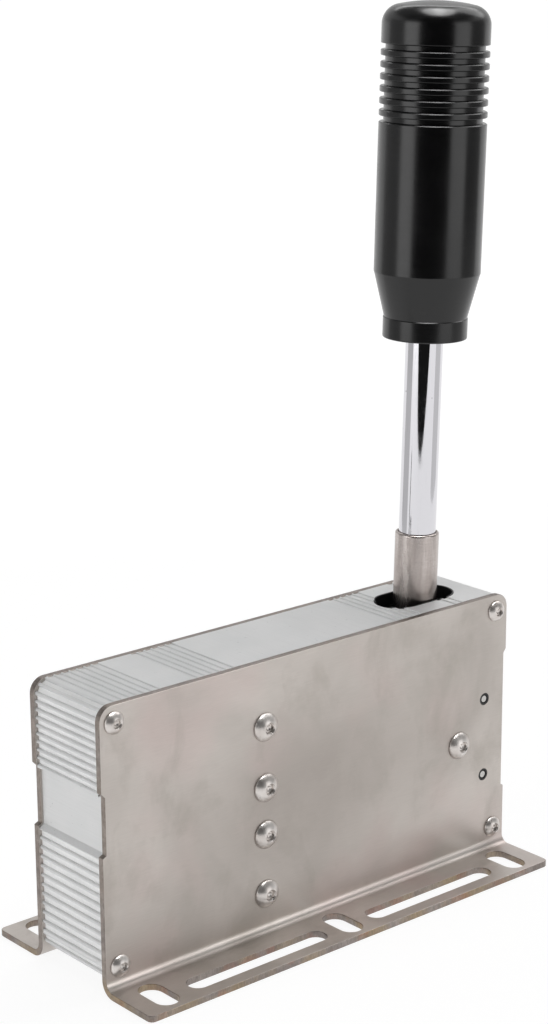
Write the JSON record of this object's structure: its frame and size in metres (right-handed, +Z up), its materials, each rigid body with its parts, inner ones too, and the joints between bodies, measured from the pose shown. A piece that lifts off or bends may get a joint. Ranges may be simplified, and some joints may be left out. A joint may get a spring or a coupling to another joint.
{
  "type": "sim racing gear shifter",
  "caption": "Sequential gear shifter: a sprung lever with a grooved cylindrical knob on a ribbed aluminium box between two bent steel side plates with slotted feet.",
  "frame": {"origin": "middle of the footprint, on the surface that the two feet stand on", "axes": "+X along the long side, towards the lever's end; +Y across the thickness, towards the plate with the data socket; +Z up"},
  "size_m": [0.175, 0.0812, 0.2952],
  "materials": {
    "steel_sheet": "rolled",
    "anodised_aluminium": "satin",
    "black_plastic": "matte",
    "bright_steel": "polished",
    "ground_steel": "ground",
    "bronze": "satin",
    "machined_aluminium": "machined",
    "spring_steel": "satin",
    "black_rubber": "matte",
    "circuit_board": "satin",
    "tinned_parts": "satin",
    "brass": "satin",
    "machined_steel": "machined",
    "black_steel": "oxide",
    "magnet": "nickel plated",
    "brushed_sleeve": "brushed",
    "chrome": "polished",
    "black_anodised": "satin"
  },
  "bodies": {
    "base": {"front_side_plate": "steel_sheet", "rear_side_plate": "steel_sheet", "housing": "anodised_aluminium", "slot_liner": "black_plastic", "corner_screws": "bright_steel", "block_screws": "bright_steel", "pivot_screws": "bright_steel", "pivot_shaft": "ground_steel", "thrust_washers": "bronze", "spring_block": "machined_aluminium", "block_spring_seats": "black_plastic", "upper_spring": "spring_steel", "lower_spring": "spring_steel", "stop_pins": "ground_steel", "stop_pin_bushes": "black_plastic", "stop_sleeves": "black_rubber", "control_board": "circuit_board", "microcontroller": "black_plastic", "hall_sensors": "black_plastic", "board_parts": "tinned_parts", "usb_shell": "bright_steel", "usb_tongue": "black_plastic", "board_standoffs": "brass", "board_screws": "bright_steel", "standoff_screws": "bright_steel"},
    "lever": {"lever_hub": "machined_aluminium", "pivot_bushes": "bronze", "lever_arm": "machined_steel", "arm_screws": "black_steel", "arm_nuts": "bright_steel", "arm_magnet": "magnet", "arm_spring_cups": "black_plastic", "lever_sleeve": "brushed_sleeve", "lever_rod": "chrome", "cross_pin": "ground_steel", "sleeve_grub_screws": "black_steel", "dust_shield": "black_plastic", "knob": "black_anodised", "knob_insert": "brass", "knob_grub_screw": "black_steel"}
  },
  "joints": [
    {"name": "lever_swing", "type": "hinge", "parent": "base", "child": "lever", "pos_m": [0.065, 0, 0.0441], "axis": [0, 1, 0], "range_deg": [-7, 7], "stiffness_Nm_per_rad": 30, "deforming": ["upper_spring", "lower_spring"]}
  ]
}
